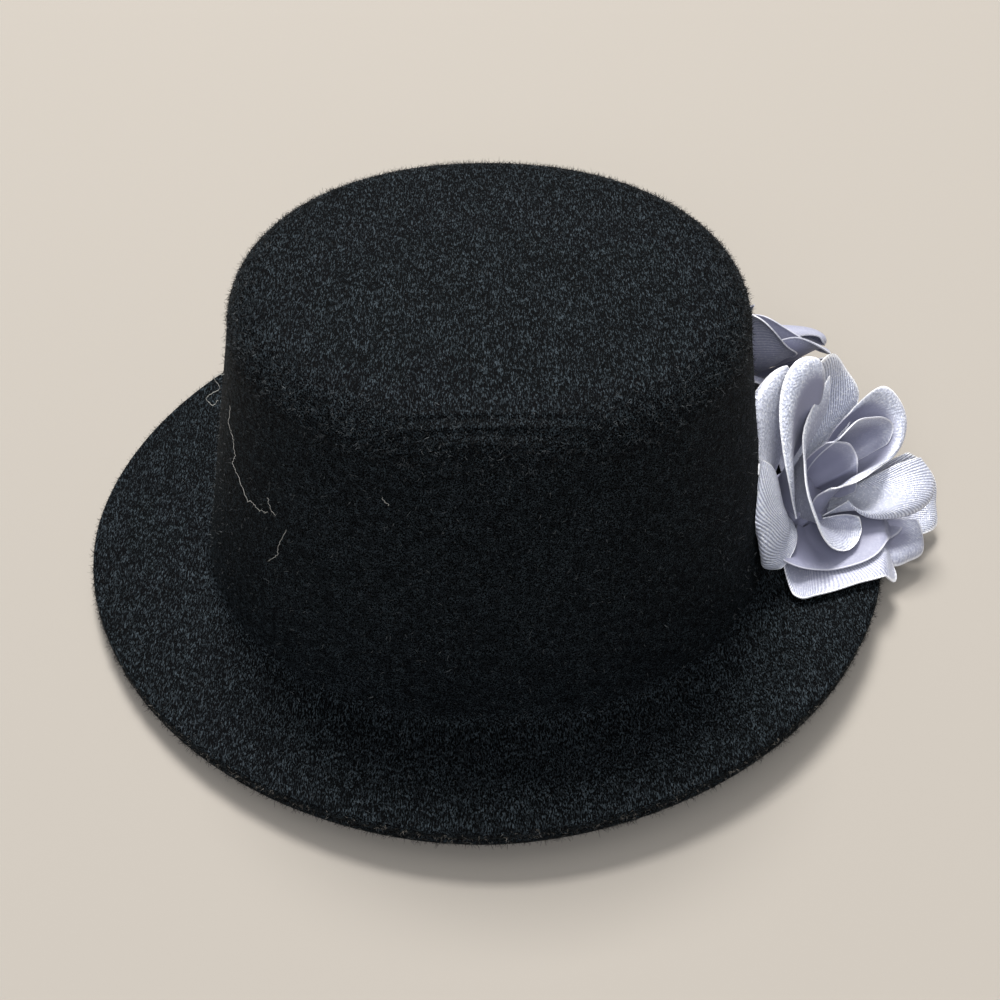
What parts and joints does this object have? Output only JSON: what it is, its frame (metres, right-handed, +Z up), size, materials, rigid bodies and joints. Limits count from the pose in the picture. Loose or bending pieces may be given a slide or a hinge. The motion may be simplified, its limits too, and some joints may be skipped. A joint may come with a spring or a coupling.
{
  "type": "clip-on fascinator, a miniature felt hat with satin roses",
  "caption": "Miniature flat-crowned felt hat with an oval double brim, satin roses beside the crown and a plain hair clip inside.",
  "frame": {"origin": "under the middle of the whole, on the surface that the brim rests on", "axes": "+X to the side with the roses, the longest way; -Y the front of the picture; +Z up"},
  "size_m": [0.1416, 0.1198, 0.0546],
  "materials": {
    "felt": "black needled felt with short fuzz",
    "facing_felt": "black felt under the brim",
    "clip_steel": "nickel-plated spring steel",
    "satin": "silver-lilac ribbed satin"
  },
  "bodies": {
    "root": {"felt_hat": "felt", "brim_facing": "facing_felt", "hair_clip": "clip_steel", "rose_1_knot": "satin", "rose_1_bud_1": "satin", "rose_1_bud_2": "satin", "rose_1_inner_1": "satin", "rose_1_inner_2": "satin", "rose_1_inner_3": "satin", "rose_1_middle_1": "satin", "rose_1_middle_2": "satin", "rose_1_middle_3": "satin", "rose_1_outer_1": "satin", "rose_1_outer_2": "satin", "rose_1_outer_3": "satin", "rose_1_outer_4": "satin", "rose_1_outer_5": "satin", "rose_1_outer_6": "satin", "rose_1_outer_7": "satin", "rose_2_knot": "satin", "rose_2_bud_1": "satin", "rose_2_bud_2": "satin", "rose_2_inner_1": "satin", "rose_2_inner_2": "satin", "rose_2_inner_3": "satin", "rose_2_middle_1": "satin", "rose_2_middle_2": "satin", "rose_2_middle_3": "satin", "rose_2_outer_1": "satin", "rose_2_outer_2": "satin", "rose_2_outer_3": "satin", "rose_2_outer_4": "satin", "rose_2_outer_5": "satin", "rose_2_outer_6": "satin", "rose_2_outer_7": "satin"}
  },
  "joints": []
}
